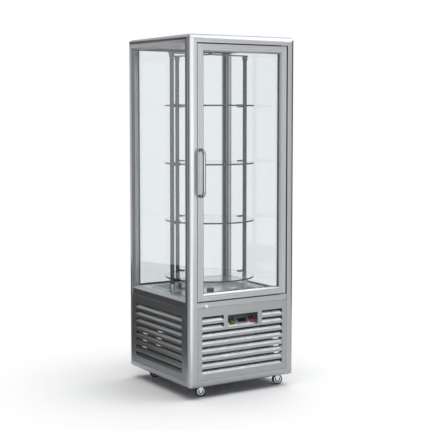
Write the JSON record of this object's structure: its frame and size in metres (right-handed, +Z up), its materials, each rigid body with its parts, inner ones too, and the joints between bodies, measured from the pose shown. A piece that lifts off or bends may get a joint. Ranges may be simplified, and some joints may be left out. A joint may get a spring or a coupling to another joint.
{
  "type": "refrigerated glass display cabinet",
  "caption": "Tall refrigerated display cabinet glazed on all sides, with a hinged glass door, a revolving rack of round glass shelves, a louvred machine base and casters.",
  "frame": {"origin": "on the floor, under the middle of the whole object's box, the handle included", "axes": "+Z up, +X to the right and +Y to the rear as one faces the door"},
  "size_m": [0.65, 0.7014, 1.85],
  "materials": {
    "frame": "satin anodised, silver grey",
    "panel": "silver-grey powder coat",
    "stainless": "brushed",
    "chrome": "bright plated",
    "zinc": "dull zinc plate",
    "jamb_plastic": "matte",
    "gasket": "matte",
    "black_plastic": "matte",
    "red_lens": "gloss",
    "green_lens": "gloss",
    "lamp": "frosted white",
    "pane": "clear",
    "shelf_glass": "clear, polished edge",
    "coil": "finned",
    "black_enamel": "gloss black",
    "tyre": "matte"
  },
  "bodies": {
    "cabinet": {"corner_post_front_left": "frame", "corner_post_front_right": "frame", "corner_post_rear_left": "frame", "corner_post_rear_right": "frame", "top_frame": "frame", "mid_frame": "frame", "base_frame": "frame", "glazing_bead_left": "frame", "glazing_bead_right": "frame", "glazing_bead_rear": "frame", "louvred_panel_left": "panel", "louvred_panel_right": "panel", "louvred_panel_front": "panel", "louvred_panel_rear": "panel", "roof_panel": "panel", "control_box": "panel", "deck": "stainless", "deck_tray": "stainless", "hinge_bracket_top": "zinc", "hinge_bracket_bottom": "zinc", "chassis_pan": "zinc", "door_jamb": "jamb_plastic", "temperature_controller": "jamb_plastic", "power_switch_housing": "black_plastic", "light_switch_housing": "black_plastic", "mains_inlet": "black_plastic", "ceiling_lamp": "lamp", "glass_left": "pane", "glass_right": "pane", "glass_rear": "pane", "condenser": "coil", "evaporator": "coil", "compressor": "black_enamel", "gearmotor": "black_enamel"},
    "door": {"door_frame": "frame", "door_glass": "pane", "door_gasket": "gasket", "door_handle": "chrome"},
    "rack": {"lower_spider": "stainless", "upper_spider": "black_plastic", "rack_upright_1": "chrome", "rack_upright_2": "chrome", "rack_upright_3": "chrome", "glass_shelf_1": "shelf_glass", "glass_shelf_2": "shelf_glass", "glass_shelf_3": "shelf_glass", "glass_shelf_4": "shelf_glass"},
    "lock": {"lock_barrel": "chrome"},
    "power_button": {"power_rocker": "red_lens"},
    "light_button": {"light_rocker": "green_lens"},
    "condenser_rotor": {"condenser_fan": "black_plastic"},
    "evaporator_rotor": {"evaporator_fan": "black_plastic"},
    "fork_front_left": {"caster_fork_front_left": "chrome"},
    "wheel_front_left": {"caster_wheel_front_left": "tyre"},
    "fork_front_right": {"caster_fork_front_right": "chrome"},
    "wheel_front_right": {"caster_wheel_front_right": "tyre"},
    "fork_rear_left": {"caster_fork_rear_left": "chrome"},
    "wheel_rear_left": {"caster_wheel_rear_left": "tyre"},
    "fork_rear_right": {"caster_fork_rear_right": "chrome"},
    "wheel_rear_right": {"caster_wheel_rear_right": "tyre"}
  },
  "joints": [
    {"name": "door_hinge", "type": "hinge", "parent": "cabinet", "child": "door", "pos_m": [0.262, -0.28635, 1.1535], "axis": [0, 0, 1], "range_deg": [0, 100]},
    {"name": "lock_turn", "type": "hinge", "parent": "cabinet", "child": "lock", "pos_m": [-0.228, -0.29635, 0.483], "axis": [0, -1, 0], "range_deg": [0, 90]},
    {"name": "rack_spin", "type": "hinge", "parent": "cabinet", "child": "rack", "pos_m": [0, 0.03015, 0.487], "axis": [0, 0, 1], "continuous": true},
    {"name": "power_press", "type": "hinge", "parent": "cabinet", "child": "power_button", "pos_m": [0.069, -0.26984, 0.37934], "axis": [1, 0, 0], "range_deg": [0, 20]},
    {"name": "light_press", "type": "hinge", "parent": "cabinet", "child": "light_button", "pos_m": [-0.055, -0.26984, 0.37934], "axis": [1, 0, 0], "range_deg": [0, 20]},
    {"name": "condenser_fan_spin", "type": "hinge", "parent": "cabinet", "child": "condenser_rotor", "pos_m": [-0.02, -0.19585, 0.1985], "axis": [0, 1, 0], "continuous": true},
    {"name": "evaporator_fan_spin", "type": "hinge", "parent": "cabinet", "child": "evaporator_rotor", "pos_m": [0, 0.21615, 0.4097], "axis": [0, 1, 0], "continuous": true},
    {"name": "swivel_front_left", "type": "hinge", "parent": "cabinet", "child": "fork_front_left", "pos_m": [-0.242, -0.21635, 0.06], "axis": [0, 0, 1], "continuous": true},
    {"name": "roll_front_left", "type": "hinge", "parent": "fork_front_left", "child": "wheel_front_left", "pos_m": [-0.21569, -0.22593, 0.027], "axis": [0.342, 0.9397, 0], "continuous": true},
    {"name": "swivel_front_right", "type": "hinge", "parent": "cabinet", "child": "fork_front_right", "pos_m": [0.242, -0.21635, 0.06], "axis": [0, 0, 1], "continuous": true},
    {"name": "roll_front_right", "type": "hinge", "parent": "fork_front_right", "child": "wheel_front_right", "pos_m": [0.26831, -0.22593, 0.027], "axis": [0.342, 0.9397, 0], "continuous": true},
    {"name": "swivel_rear_left", "type": "hinge", "parent": "cabinet", "child": "fork_rear_left", "pos_m": [-0.242, 0.26765, 0.06], "axis": [0, 0, 1], "continuous": true},
    {"name": "roll_rear_left", "type": "hinge", "parent": "fork_rear_left", "child": "wheel_rear_left", "pos_m": [-0.21569, 0.25807, 0.027], "axis": [0.342, 0.9397, 0], "continuous": true},
    {"name": "swivel_rear_right", "type": "hinge", "parent": "cabinet", "child": "fork_rear_right", "pos_m": [0.242, 0.26765, 0.06], "axis": [0, 0, 1], "continuous": true},
    {"name": "roll_rear_right", "type": "hinge", "parent": "fork_rear_right", "child": "wheel_rear_right", "pos_m": [0.26831, 0.25807, 0.027], "axis": [0.342, 0.9397, 0], "continuous": true}
  ]
}
